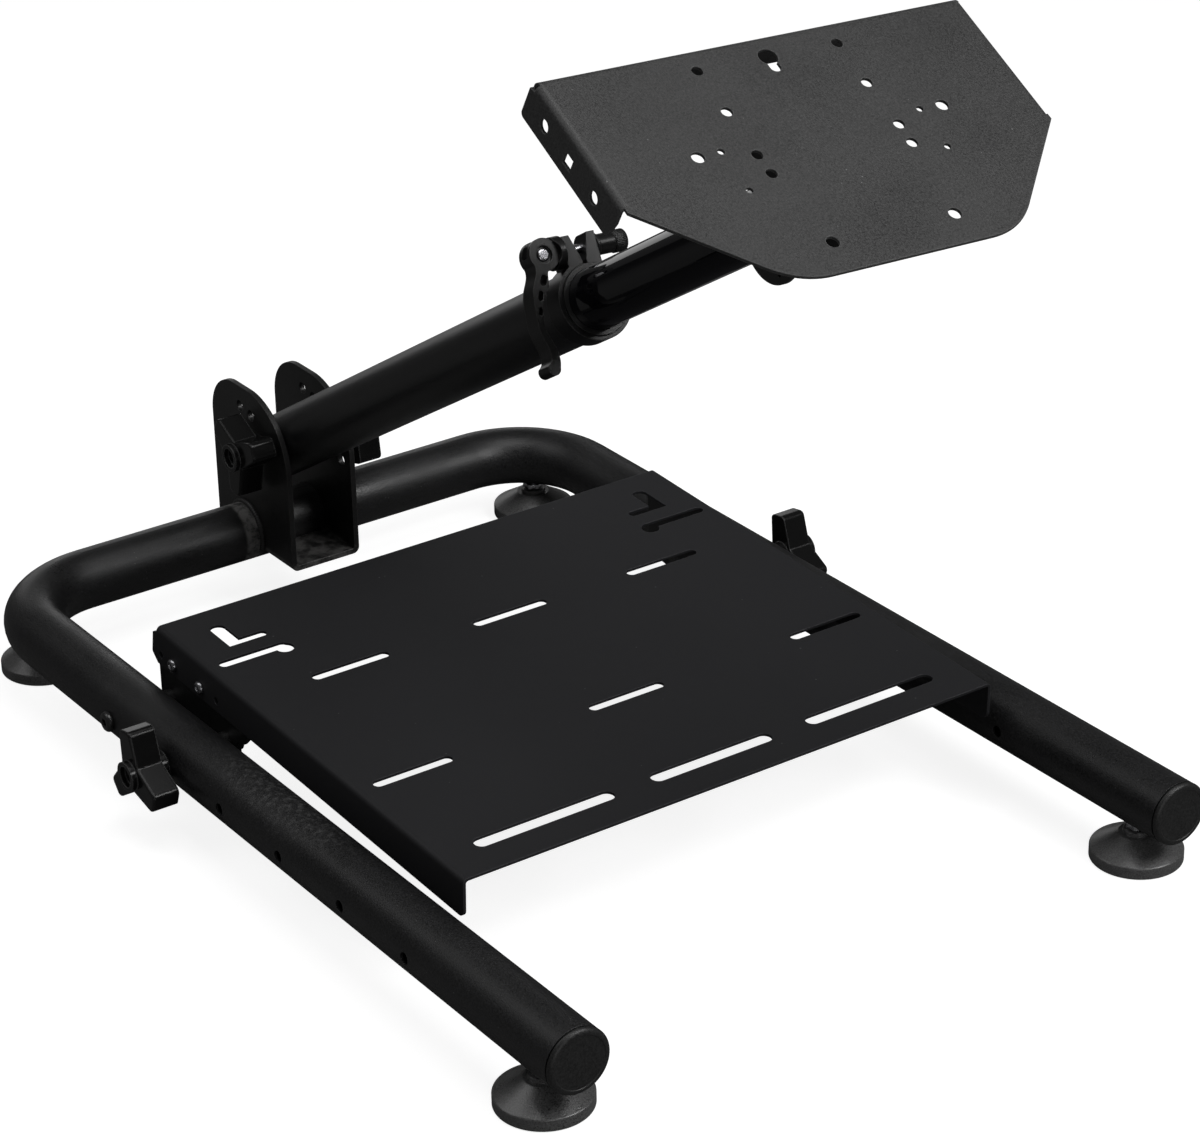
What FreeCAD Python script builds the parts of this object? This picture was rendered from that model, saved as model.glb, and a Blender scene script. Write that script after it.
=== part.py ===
# Racing wheel stand: a bent tube base, a leaning telescopic post with a tilting
# wheel plate, and a slotted pedal plate between the legs.
# Millimetres. +Z up, floor at z = 0, x = 0 the middle plane. The pieces are made with
# y = 0 on the crossbar's axis, then all are moved together so that the origin is the
# middle of the footprint. The open ends of the legs point to -Y, where the player sits.
import FreeCAD, Part
from math import acos, cos, radians, sin, sqrt, tan
import os

V = FreeCAD.Vector
O, X, Y, Z = V(0, 0, 0), V(1, 0, 0), V(0, 1, 0), V(0, 0, 1)

# base tube
TUBE_R = 21.2             # outer radius
TUBE_WALL = 1.8
TUBE_Z = 47.2             # height of the tube's axis above the floor
LEG_X = 226.75            # leg axis from the middle plane
LEG_LEN = 701.5           # crossbar axis to the open end of a leg
BEND_R = 65.0
LEG_HOLES = 6
LEG_HOLE_FIRST = 196.0    # from the crossbar axis
LEG_HOLE_PITCH = 72.0
LEG_BOLT_R = 4.0
CAP_HEAD = 4.5
CAP_EDGE = 1.2
CAP_PLUG = 14.0

# feet
FOOT_R = 30.0
FOOT_RIM = 8.0
FOOT_CONE_R = 12.0
FOOT_NECK_R = 9.0
FOOT_NECK = 2.5
FOOT_H = 21.0
FOOT_EDGE = 1.2
FOOT_IN = 33.5            # front foot from the leg's end
STUD_R = 4.0
STUD_SHORT = 8.0          # a stud ends this far below the tube's axis

# post bracket, a channel that stands on its floor
EAR_T = 4.0
EAR_PLAY = 1.25           # between the post and an ear
EAR_BEND = 5.0
BRACKET_UNDER = 11.2      # underside below the tube's axis
BRACKET_BACK = 42.0
BRACKET_FRONT = -61.0
EAR_UP = 38.6             # top of an ear above the pivot
EAR_BACK_R = 32.0
EAR_FRONT_R = 51.0
PIVOT_Y = -28.0
PIVOT_UP = 74.2           # pivot above the tube's axis
PIVOT_R = 5.0
INDEX_R = 4.2
INDEX_HOLES = ((29.0, 23.1), (14.2, 20.5))    # back and up from the pivot
FRONT_HOLE = (-20.7, -15.8, 4.5)              # in the right ear alone, and radius
NUT_FLATS = 17.0
NUT_T = 8.5
WASHER_R = 10.5
WASHER_T = 2.0

# post
POST_ANGLE = 31.24        # above the floor, as it stands
POST_R = 22.75
POST_WALL = 2.0
POST_TAIL = 32.0          # below the pivot
POST_TOP = 444.0          # above the pivot
BUSHING_LEN = 40.0
BUSHING_LIP = 2.0
INNER_R = 19.6
INNER_WALL = 1.8
INNER_TAIL = 250.0        # lower end of the inner tube above the pivot
INNER_END = 14.0          # inner tube past the lock bolt
FIT = 0.05                # radial clearance of running fits
SEAT = 0.3                # gap where a piece rests or slides loosely

# post clamp, made in the post's frame and turned about its axis
COLLAR_TURN = -3.0
COLLAR_T = 2.85
COLLAR_LEN = 16.0
CLAMP_BACK = 7.0          # clamp bolt below the post's top
CLAMP_BOLT_R = 3.0
CLAMP_EAR_X = 12.0
CLAMP_EAR_UP = 8.5        # top of an ear above the clamp bolt
CLAMP_EAR_ROUND = 4.5
CLAMP_SPLIT = 1.55        # half of the split at the collar
CLAMP_SPLAY = 6.5         # half of the split at the top of the ears
CUP_R = 10.5
CUP_CLEAR = 0.4           # between the cup and the collar's barrel
CUP_T = 6.2
EYE_R = 5.5
EYE_T = 6.6
EYE_PLAY = 0.6
NUT_STEPS = ((8.0, 2.2), (6.6, 12.0), (7.2, 8.5))    # radius and length, outward
NUT_BLIND = 2.0
LEVER_X = -26.3
HUB_R = 10.4
LEVER_DEPTH = 13.4
PIN_R = 3.0
PIN_HEAD_R = 4.2
PIN_HEAD = 1.6
PIN_DISH_R = 5.6
PIN_DISH = 2.0
LEVER_LEFT = ((-10.0, -2.5), (-8.9, -8.9), (-13.9, -18.8), (-16.4, -30.3), (-17.5, -43.2),
              (-16.0, -52.1), (-14.7, -62.7), (-18.2, -66.9))
LEVER_TIP = (-15.3, -73.6)
LEVER_RIGHT = ((-10.4, -69.6), (-9.0, -63.3), (-10.7, -53.2), (-13.0, -45.1), (-12.3, -37.6),
               (-8.7, -27.4), (-3.1, -19.8), (-1.3, -12.5), (8.4, -5.5))
LEVER_OVALS = ((-5.3, -15.5, 4.4, 7.4, 29.6), (-10.3, -24.3, 3.3, 6.6, 23.0),
               (-13.1, -33.7, 2.6, 5.2, 16.6))       # place, width, length, lean

# wheel plate, in its own frame: far edge on y = 0, top face on z = 0
WP_HALF = 146.0
WP_DEPTH = 168.9
WP_T = 2.0
WP_BEND = 4.5
WP_FLANGE = 25.5
WP_FLANGE_LEN = 95.5
WP_LIP = 2.0              # the far flange's outer face past the visible far edge
WP_FAR_FLANGE = 23.2
WP_SEAM = 0.3             # between the far flange and a side flange
WP_STEP = 1.5             # the flat sheet is this much narrower past the flanges
WP_SQUARE = 4.0           # straight side between a flange and the slanted edge
WP_CORNER_R = 50.0
WP_SLOPE = 28.55          # falls towards the player
WP_PIVOT_BACK = 76.96     # plate pivot from the far edge
WP_PIVOT_DROP = 56.45     # and below the top face
WP_PIVOT = 673.0          # plate pivot above the post pivot, along the post
WP_LOCK = 26.0            # lock bolt ahead of the plate pivot
WP_TILT = 16.0            # half sweep of the lock slot
TOP_TURN = -2.16          # the inner tube stands slightly turned in its clamp
WHEEL_HOLES = ((48.0, 14.4, 3.5), (48.0, 46.6, 3.5), (68.0, 72.6, 2.2), (83.5, 73.3, 4.0),
               (48.5, 80.0, 3.5), (48.0, 94.5, 3.5), (67.6, 102.4, 2.2), (41.6, 148.2, 4.0))
KEYHOLE_V = 14.4
KEYHOLE_R = 6.0
KEYHOLE_TAIL_V = 22.6
KEYHOLE_TAIL_R = 3.5
FLANGE_HOLES = ((18.6, 14.7), (73.0, 15.1))
FLANGE_HOLE_R = 4.0
FLANGE_SQUARE = (45.1, 15.4)

# bracket under the wheel plate
WB_X = 23.5               # outer face of an ear
WB_T = 3.0
WB_BEND = 5.0
WB_FAR = 35.0
WB_NEAR = 128.0
WB_PAD = 11.5             # depth of the bracket's sides at its ends
WB_EAR_R = 25.5
WB_EAR_BACK = 14.84       # ear centre nearer the player than the pivot
WB_EAR_DROP = 5.15
WB_INDEX = (-30.94, -16.15, 1.8)     # from the pivot, and radius
WB_HEAD_R = 6.5
WB_HEAD = 4.5

# pedal plate, in its own frame like the wheel plate
PP_PLAY = 2.75            # between a flange and a leg
PP_DEPTH = 367.8
PP_T = 2.0
PP_BEND = 3.75
PP_FLANGE = 27.2
PP_LIP = 7.0
PP_CORNER_R = 5.0
PP_SLOPE = 2.43
PP_AHEAD = 11.1           # far edge from the first leg holes
PP_UP = 51.0              # far edge above the leg's axis
DECK_TILT = 10.0          # how far the near edge can rise
DECK_SCREW_R = 3.0
DECK_SCREWS = ((21.2, 19.3), (56.6, 19.3))
DECK_HOLES = ((4.7, 19.3), (77.0, 19.3))
DECK_HOLE_R = 2.6
SLOTS = ((0, 115.9, 28.8, 4.0), (124.1, 115.9, 28.8, 4.0), (0, 248.6, 28.7, 4.0),
         (161.3, 248.6, 28.7, 4.0), (0, 339.5, 46.0, 5.3), (125.3, 339.5, 50.8, 5.3))
HOOK = (170.75, 20.5, 50.5, 5.25)    # x, far end, near end and half width of the hook's stem
HOOK_LEG = (146.6, 47.0, 3.5)        # end, depth and half width of its leg
KEY_SLOT = (147.0, 194.0, 68.0, 4.0)
KEY_END = (147.0, 71.5, 6.2)

# pedal bracket, measured from the two leg holes that carry it
PB_T = 3.0
PB_REAR = 14.0
PB_TOP = 42.8
PB_LOW = 13.0
PB_SAG = 14.0
PB_NOSE = ((-14.0, 6.3, 2.0), (-22.0, 7.8, 3.0), (-29.0, 14.8, 4.0), (-17.0, 42.8, 0.0))
LEG_NUT_R = 7.0
LEG_NUT = 6.0
LEG_NUT_PAST = 3.0
HEAD_R = 7.0
HEAD = 4.0
SPACER_R = 8.0

# lobed knobs
KNOB_LOBES = 3
KNOB_REACH = 30.0
KNOB_ROOT = 22.0
KNOB_TIP = 14.0
KNOB_TIP_R = 4.0
KNOB_IN = 5.0
KNOB_OUT = 23.5
KNOB_EDGE = 1.5
KNOB_HUB_R = 10.0
KNOB_H = 27.5
KNOB_DISH_R = 7.0
KNOB_DISH = 4.0
KNOB_GRIP = 20.0          # bolt inside a knob
LEFT_KNOB_AT = 65.0
RIGHT_KNOB_AT = 44.3
PEDAL_KNOB_AT = -10.0

PIVOT_Z = TUBE_Z + PIVOT_UP
EAR_IN = POST_R + EAR_PLAY
BRACKET_Z = TUBE_Z - BRACKET_UNDER
COLLAR_R = POST_R + COLLAR_T
CLAMP_H = sqrt(COLLAR_R ** 2 - CLAMP_EAR_X ** 2) + CUP_R + CUP_CLEAR    # clamp bolt above the post's axis
CLAMP_EAR_TOP = CLAMP_H + CLAMP_EAR_UP
CLAMP_Z = POST_TOP - CLAMP_BACK
LEVER_Z = CLAMP_Z - LEVER_DEPTH / 2
PP_HALF = LEG_X - TUBE_R - PP_PLAY


def cyl(r, p, d, length):
    return Part.makeCylinder(r, length, p, d)


def ring(r_out, r_in, p, d, length):
    return cyl(r_out, p, d, length).cut(cyl(r_in, p, d, length))


def box(x0, y0, z0, x1, y1, z1):
    return Part.makeBox(x1 - x0, y1 - y0, z1 - z0, V(x0, y0, z0))


def corner(p0, p1, p2, r):
    """Start, middle and end of the arc that rounds the corner at p1."""
    u = (p0 - p1).normalize()
    w = (p2 - p1).normalize()
    half = acos(u.dot(w)) / 2
    m = (u + w).normalize()
    return p1 + u * (r / tan(half)), p1 + m * (r / sin(half) - r), p1 + w * (r / tan(half))


def outline(points):
    """Face inside a closed outline of (point, corner radius) pairs."""
    n = len(points)
    stops = []
    for i, (p, r) in enumerate(points):
        if r:
            stops.append(corner(points[i - 1][0], p, points[(i + 1) % n][0], r))
        else:
            stops.append((p,))
    edges = []
    for i, stop in enumerate(stops):
        if len(stop) == 3:
            edges.append(Part.Arc(*stop).toShape())
        after = stops[(i + 1) % n][0]
        if stop[-1].distanceToPoint(after) > 1e-6:
            edges.append(Part.makeLine(stop[-1], after))
    return Part.Face(Part.Wire(edges))


def face(points, at):
    """Outline of (a, b) or (a, b, corner radius) points, put in space by at."""
    return outline([(at(p[0], p[1]), p[2] if len(p) == 3 else 0.0) for p in points])


def plan(points, z, h):
    """Outline seen from above, pushed up by h."""
    return face(points, lambda x, y: V(x, y, z)).extrude(V(0, 0, h))


def side(points, x, w):
    """Outline of (y, z) points, pushed along X by w."""
    return face(points, lambda y, z: V(x, y, z)).extrude(V(w, 0, 0))


def turned(points):
    """Round piece about Z from its half outline of (radius, height) points."""
    return face(points, lambda r, z: V(r, 0, z)).revolve(O, Z, 360)


def channel(half, t, drop, r, y0, y1):
    """Sheet along Y with both long edges bent down; its top face is on z = 0."""
    i = half - t
    pts = [(-half, -drop), (-half, 0, r), (half, 0, r), (half, -drop),
           (i, -drop), (i, -t, r - t), (-i, -t, r - t), (-i, -drop)]
    return face(pts, lambda x, z: V(x, y0, z)).extrude(V(0, y1 - y0, 0))


def slot_x(x0, x1, y, r, z, h):
    """Upright slot along X between the centres of its round ends."""
    body = box(x0, y - r, z, x1, y + r, z + h)
    for x in (x0, x1):
        body = body.fuse(cyl(r, V(x, y, z), Z, h))
    return body


def arc_slot(centre, p, r, a0, a1, w):
    """Slot of half width r through p, bent about an X axis at centre; it spans w from p."""
    u = (p - centre).normalize()
    a, b, along = p - u * r, p + u * r, V(w, 0, 0)
    start = Part.Face(Part.makePolygon([a, b, b + along, a + along, a]))
    start.rotate(centre, X, a0)
    body = start.revolve(centre, X, a1 - a0)
    for t in (a0, a1):
        end = cyl(r, p, X, w)
        end.rotate(centre, X, t)
        body = body.fuse(end)
    return body


def moved(shape, x, y, z):
    s = shape.copy()
    s.translate(V(x, y, z))
    return s


def mirror(shape):
    return shape.mirror(O, X)


def post_place(shape):
    """From the post's own frame (x across, y up from the axis, z along it)."""
    s = shape.copy()
    s.rotate(O, X, 90.0 - POST_ANGLE)
    s.translate(V(0, PIVOT_Y, PIVOT_Z))
    return s


def clamp_place(shape):
    s = shape.copy()
    s.rotate(O, Z, COLLAR_TURN)
    return post_place(s)


def top_place(shape):
    """From the post's frame to the turned inner tube."""
    s = shape.copy()
    s.rotate(O, Z, TOP_TURN)
    return post_place(s)


def wheel_place(shape):
    """From the wheel plate's frame, by way of its pivot on the inner tube."""
    s = shape.copy()
    s.translate(V(0, WP_PIVOT_BACK, WP_PIVOT_DROP))
    s.rotate(O, X, WP_SLOPE - (90.0 - POST_ANGLE))
    s.translate(V(0, 0, WP_PIVOT))
    return top_place(s)


def deck_place(shape):
    s = shape.copy()
    s.rotate(O, X, PP_SLOPE)
    s.translate(V(0, leg_hole_y(0) + PP_AHEAD, TUBE_Z + PP_UP))
    return s


def base_path(r):
    """Solid U of radius r along the base tube's axis."""
    leg, bar = LEG_LEN - BEND_R, LEG_X - BEND_R
    body = cyl(r, V(-bar, 0, TUBE_Z), X, 2 * bar)
    for s in (1, -1):
        end = Part.Face(Part.Wire(Part.makeCircle(r, V(s * bar, 0, TUBE_Z), X)))
        body = body.fuse(end.revolve(V(s * bar, -BEND_R, TUBE_Z), Z, -90 * s))
        body = body.fuse(cyl(r, V(s * LEG_X, -BEND_R, TUBE_Z), -Y, leg))
    return body.removeSplitter()


def leg_hole_y(i):
    return -(LEG_HOLE_FIRST + LEG_HOLE_PITCH * i)


def foot_spots():
    k = BEND_R * sqrt(0.5)
    x, y = LEG_X - BEND_R + k, k - BEND_R
    near = FOOT_IN - LEG_LEN
    return {"rear_right": (x, y), "rear_left": (-x, y),
            "front_right": (LEG_X, near), "front_left": (-LEG_X, near)}


def base_frame():
    body = base_path(TUBE_R).cut(base_path(TUBE_R - TUBE_WALL))
    for i in range(LEG_HOLES):
        for s in (1, -1):
            p = V(s * (LEG_X - 1.5 * TUBE_R), leg_hole_y(i), TUBE_Z)
            body = body.cut(cyl(LEG_BOLT_R, p, X * s, 3 * TUBE_R))
    for x, y in foot_spots().values():
        body = body.cut(cyl(STUD_R, V(x, y, 0), Z, TUBE_Z))
    return body


def leg_cap(s):
    """Plug and flush head with a softened edge."""
    r = TUBE_R - TUBE_WALL
    cap = turned([(0, -CAP_PLUG), (r, -CAP_PLUG), (r, 0), (TUBE_R, 0),
                  (TUBE_R, CAP_HEAD, CAP_EDGE), (0, CAP_HEAD)])
    cap.rotate(O, X, 90)
    return moved(cap, s * LEG_X, -LEG_LEN, TUBE_Z)


def foot(x, y):
    top = FOOT_H - FOOT_NECK
    pad = turned([(0, 0), (FOOT_R, 0, FOOT_EDGE), (FOOT_R, FOOT_RIM, FOOT_EDGE),
                  (FOOT_CONE_R, top, FOOT_EDGE), (FOOT_NECK_R, top), (FOOT_NECK_R, FOOT_H),
                  (0, FOOT_H)])
    return moved(pad, x, y, 0)


def foot_stud(x, y):
    return cyl(STUD_R, V(x, y, FOOT_H), Z, TUBE_Z - FOOT_H - STUD_SHORT)


def post_bracket():
    """Upright channel with two rounded ears, let in over the crossbar."""
    w = EAR_IN + EAR_T
    top = PIVOT_Z + EAR_UP
    body = channel(w, EAR_T, top - BRACKET_Z, EAR_BEND, BRACKET_BACK, BRACKET_FRONT)
    body.rotate(O, Y, 180)
    body.translate(V(0, 0, BRACKET_Z))
    body = body.common(side([(BRACKET_BACK, BRACKET_Z), (BRACKET_BACK, top, EAR_BACK_R),
                             (BRACKET_FRONT, top, EAR_FRONT_R), (BRACKET_FRONT, BRACKET_Z)], -w, 2 * w))
    body = body.cut(cyl(TUBE_R, V(-w, 0, TUBE_Z), X, 2 * w))
    holes = [(PIVOT_Y, PIVOT_Z, PIVOT_R)]
    holes += [(PIVOT_Y + b, PIVOT_Z + u, INDEX_R) for b, u in INDEX_HOLES]
    for y, z, r in holes:
        body = body.cut(cyl(r, V(-w, y, z), X, 2 * w))
    b, u, r = FRONT_HOLE
    return body.cut(cyl(r, V(EAR_IN, PIVOT_Y + b, PIVOT_Z + u), X, EAR_T))


def knob(first, bore_r):
    """Lobed knob with its back face on x = 0, pointing to -X."""
    lobe = side([(-KNOB_ROOT / 2, 0), (KNOB_ROOT / 2, 0), (KNOB_TIP / 2, KNOB_REACH, KNOB_TIP_R),
                 (-KNOB_TIP / 2, KNOB_REACH, KNOB_TIP_R)], -KNOB_OUT, KNOB_OUT - KNOB_IN)
    rim = [e for e in lobe.Edges if e.BoundBox.XMax < -KNOB_OUT + 0.01 and e.BoundBox.ZMax > 0.01]
    lobe = lobe.makeFillet(KNOB_EDGE, rim)
    body = cyl(KNOB_HUB_R, O, -X, KNOB_H)
    for i in range(KNOB_LOBES):
        arm = lobe.copy()
        arm.rotate(O, X, first + 360.0 / KNOB_LOBES * i)
        body = body.fuse(arm)
    body = body.removeSplitter()
    body = body.cut(cyl(KNOB_DISH_R, V(-KNOB_H, 0, 0), X, KNOB_DISH))
    return body.cut(cyl(bore_r, O, -X, KNOB_GRIP))


def bolt_x(x0, x1, y, z, r):
    return cyl(r, V(x0, y, z), X, x1 - x0)


def post_nut():
    """Washer and hexagon nut on the pivot bolt, outside the right ear."""
    x = EAR_IN + EAR_T
    r = NUT_FLATS / sqrt(3)
    points = [(PIVOT_Y + r * cos(radians(a)), PIVOT_Z + r * sin(radians(a))) for a in range(0, 360, 60)]
    nut = side(points, x + WASHER_T, NUT_T).fuse(cyl(WASHER_R, V(x, PIVOT_Y, PIVOT_Z), X, WASHER_T))
    return nut.cut(cyl(PIVOT_R, V(x, PIVOT_Y, PIVOT_Z), X, WASHER_T + NUT_T))


def post_tube():
    body = ring(POST_R, POST_R - POST_WALL, V(0, 0, -POST_TAIL), Z, POST_TAIL + POST_TOP)
    return post_place(body.cut(cyl(PIVOT_R + FIT, V(-POST_R, 0, 0), X, 2 * POST_R)))


def post_bushing():
    r_in = INNER_R + FIT
    body = ring(POST_R - POST_WALL, r_in, V(0, 0, POST_TOP - BUSHING_LEN), Z, BUSHING_LEN)
    lip = ring(POST_R, r_in, V(0, 0, POST_TOP), Z, BUSHING_LIP)
    return post_place(body.fuse(lip).removeSplitter())


def clamp_ear(s):
    """Ear of the collar: upright outside, splayed inside, its lower top edge rounded."""
    z0 = POST_TOP - COLLAR_LEN
    low = POST_R - COLLAR_R + POST_R
    ear = plan([(s * CLAMP_SPLIT, low), (s * CLAMP_EAR_X, low), (s * CLAMP_EAR_X, CLAMP_EAR_TOP),
                (s * CLAMP_SPLAY, CLAMP_EAR_TOP), (s * CLAMP_SPLIT, COLLAR_R)], z0, COLLAR_LEN)
    edge = [e for e in ear.Edges if e.BoundBox.YMin > CLAMP_EAR_TOP - 0.01
            and e.BoundBox.ZMax < z0 + 0.01]
    return ear.makeFillet(CLAMP_EAR_ROUND, edge)


def clamp_collar():
    z0, w = POST_TOP - COLLAR_LEN, CLAMP_EAR_X
    body = cyl(COLLAR_R, V(0, 0, z0), Z, COLLAR_LEN).fuse(clamp_ear(1)).fuse(clamp_ear(-1))
    body = body.cut(cyl(POST_R, V(0, 0, z0), Z, COLLAR_LEN))
    body = body.cut(box(-CLAMP_SPLIT, 0, z0, CLAMP_SPLIT, COLLAR_R, POST_TOP))
    body = body.cut(cyl(CLAMP_BOLT_R, V(-w, CLAMP_H, CLAMP_Z), X, 2 * w))
    return clamp_place(body)


def nut_end():
    return CLAMP_EAR_X + sum(length for r, length in NUT_STEPS)


def clamp_bolt():
    """Rod with a flat eye for the lever's pin."""
    eye_z = CLAMP_Z - EYE_T / 2
    rod = cyl(CLAMP_BOLT_R, V(LEVER_X, CLAMP_H, CLAMP_Z), X, nut_end() - NUT_BLIND - LEVER_X)
    eye = cyl(EYE_R, V(LEVER_X, CLAMP_H, eye_z), Z, EYE_T)
    body = rod.fuse(eye).cut(cyl(PIN_R + FIT, V(LEVER_X, CLAMP_H, eye_z), Z, EYE_T))
    return clamp_place(body)


def clamp_nut():
    x = CLAMP_EAR_X
    body = None
    for r, length in NUT_STEPS:
        step = cyl(r, V(x, CLAMP_H, CLAMP_Z), X, length)
        body = body.fuse(step) if body else step
        x += length
    grip = nut_end() - NUT_BLIND - CLAMP_EAR_X
    return clamp_place(body.cut(cyl(CLAMP_BOLT_R, V(CLAMP_EAR_X, CLAMP_H, CLAMP_Z), X, grip)))


def clamp_cup():
    """Hollow-faced washer between the lever's hub and the left ear."""
    x = -CLAMP_EAR_X - CUP_T
    body = ring(CUP_R, CLAMP_BOLT_R, V(x, CLAMP_H, CLAMP_Z), X, CUP_T)
    hub = cyl(HUB_R + FIT, V(LEVER_X, CLAMP_H, CLAMP_Z - CUP_R), Z, 2 * CUP_R)
    return clamp_place(body.cut(hub))


def lever_outline(z):
    """Curved arm seen along the post, measured from the hub's centre."""
    left, right, tip = [[V(LEVER_X + a, CLAMP_H + b, z) for a, b in row]
                        for row in (LEVER_LEFT, LEVER_RIGHT, (LEVER_TIP,))]
    edges = []
    for row in (left, right):
        curve = Part.BSplineCurve()
        curve.interpolate(row)
        edges.append(curve.toShape())
    edges.insert(1, Part.Arc(left[-1], tip[0], right[0]).toShape())
    c = V(LEVER_X, CLAMP_H, z)
    edges += [Part.makeLine(right[-1], c), Part.makeLine(c, left[0])]
    return Part.Face(Part.Wire(edges))


def clamp_lever():
    z0, depth = LEVER_Z, LEVER_DEPTH
    c = V(LEVER_X, CLAMP_H, z0)
    body = lever_outline(z0).extrude(V(0, 0, depth)).fuse(cyl(HUB_R, c, Z, depth)).removeSplitter()
    e, r = EYE_T / 2 + EYE_PLAY, EYE_R + EYE_PLAY
    slot = cyl(r, V(c.x, c.y, CLAMP_Z - e), Z, 2 * e)
    slot = slot.fuse(box(c.x, c.y - r, CLAMP_Z - e, c.x + HUB_R, c.y + HUB_R, CLAMP_Z + e))
    slot = slot.fuse(box(c.x - HUB_R, c.y, CLAMP_Z - e, c.x + HUB_R, c.y + HUB_R, CLAMP_Z + e))
    body = body.cut(slot).cut(cyl(PIN_R, c, Z, depth))
    body = body.cut(cyl(PIN_DISH_R, V(c.x, c.y, z0 + depth - PIN_DISH), Z, PIN_DISH))
    for x, y, w, length, lean in LEVER_OVALS:
        run = (length - w) / 2
        oval = slot_x(-run, run, 0, w / 2, z0, depth)
        oval.rotate(O, Z, 90 - lean)
        body = body.cut(moved(oval, c.x + x, c.y + y, 0))
    return clamp_place(body)


def lever_pin():
    top = LEVER_DEPTH - PIN_DISH
    pin = turned([(0, 0), (PIN_R, 0), (PIN_R, top), (PIN_HEAD_R, top),
                  (PIN_HEAD_R, top + PIN_HEAD, PIN_HEAD * 0.9), (0, top + PIN_HEAD)])
    return clamp_place(moved(pin, LEVER_X, CLAMP_H, LEVER_Z))


def inner_tube():
    length = WP_PIVOT + WP_LOCK + INNER_END - INNER_TAIL
    body = ring(INNER_R, INNER_R - INNER_WALL, V(0, 0, INNER_TAIL), Z, length)
    for z in (WP_PIVOT, WP_PIVOT + WP_LOCK):
        body = body.cut(cyl(STUD_R, V(-INNER_R, 0, z), X, 2 * INNER_R))
    return top_place(body)


def lock_spot():
    """Lock bolt in the wheel plate's frame."""
    a = radians(90.0 - POST_ANGLE - WP_SLOPE)
    return V(-WB_X, -WP_PIVOT_BACK - WP_LOCK * sin(a), -WP_PIVOT_DROP + WP_LOCK * cos(a))


def wheel_bracket():
    """Channel under the plate whose sides run down into two rounded ears."""
    w, r = WB_X, WB_EAR_R
    py, pz = -WP_PIVOT_BACK, -WP_PIVOT_DROP
    cy, cz = py - WB_EAR_BACK, pz - WB_EAR_DROP
    body = channel(w, WB_T, -cz + r - WP_T, WB_BEND, -WB_FAR, -WB_NEAR)
    body.translate(V(0, 0, -WP_T))
    pad, shoulder = -WP_T - WB_PAD, cz + r / 2
    body = body.common(side([(-WB_FAR, -WP_T), (-WB_FAR, pad), (cy + r, shoulder), (cy + r, cz - r, r - 0.1),
                             (cy - r, cz - r, r - 0.1), (cy - r, shoulder), (-WB_NEAR, pad),
                             (-WB_NEAR, -WP_T)], -w, 2 * w))
    body = body.cut(cyl(STUD_R + FIT, V(-w, py, pz), X, 2 * w))
    body = body.cut(arc_slot(V(-w, py, pz), lock_spot(), STUD_R + SEAT, -WP_TILT, WP_TILT, 2 * w))
    dy, dz, hole = WB_INDEX
    return wheel_place(body.cut(cyl(hole, V(-w, py + dy, pz + dz), X, 2 * w)))


def wheel_outline():
    """Flat part of the sheet past the flanges, with slanted sides and round near corners."""
    flat, past = WP_HALF - WP_BEND, WP_HALF - WP_STEP
    e, d, turn = WP_FLANGE_LEN, WP_DEPTH, WP_FLANGE_LEN + WP_SQUARE
    half = [(flat, -e / 2), (flat, -e), (past, -e), (past, -turn), (past - d + turn, -d, WP_CORNER_R)]
    return half + [(-p[0],) + p[1:] for p in reversed(half)]


def wheel_plate():
    h, t, e = WP_HALF, WP_T, WP_FLANGE_LEN
    bend, w = WP_LIP - WP_BEND, h - t - WP_SEAM
    body = channel(h, t, WP_FLANGE, WP_BEND, WP_LIP, -e)
    body = body.common(side([(bend, 0), (bend, -WP_BEND), (WP_LIP, -WP_BEND - 1), (WP_LIP, -WP_FLANGE, 3),
                             (-e + 3, -WP_FLANGE, 5), (-e, -WP_FLANGE / 2), (-e, 0)], -h, 2 * h))
    far = side([(bend, 0), (WP_LIP, 0, WP_BEND - 0.01), (WP_LIP, -WP_FAR_FLANGE), (WP_LIP - t, -WP_FAR_FLANGE),
                (WP_LIP - t, -t, WP_BEND - t - 0.01), (bend, -t)], -w, 2 * w)
    body = body.fuse(far).fuse(plan(wheel_outline(), -t, t)).removeSplitter()
    for s in (1, -1):
        for u, v, r in WHEEL_HOLES:
            body = body.cut(cyl(r, V(s * u, -v, -t), Z, t))
        x = s * (h - t)
        for v, drop in FLANGE_HOLES:
            body = body.cut(cyl(FLANGE_HOLE_R, V(x, -v, -drop), X * s, t))
        v, drop = FLANGE_SQUARE
        a, x0 = FLANGE_HOLE_R, min(x, s * h)
        body = body.cut(box(x0, -v - a, -drop - a, x0 + t, -v + a, -drop + a))
    body = body.cut(cyl(KEYHOLE_R, V(0, -KEYHOLE_V, -t), Z, t))
    r = KEYHOLE_TAIL_R
    body = body.cut(cyl(r, V(0, -KEYHOLE_TAIL_V, -t), Z, t))
    return wheel_place(body.cut(box(-r, -KEYHOLE_TAIL_V, -t, r, -KEYHOLE_V, 0)))


def top_bolt(along):
    """Bolt through the inner tube and both ears, with a head at each end."""
    reach = WB_X + SEAT / 3
    body = cyl(STUD_R, V(-reach - WB_HEAD, 0, along), X, 2 * (reach + WB_HEAD))
    for s in (1, -1):
        body = body.fuse(cyl(WB_HEAD_R, V(s * reach, 0, along), X * s, WB_HEAD))
    return top_place(body.removeSplitter())


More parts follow.
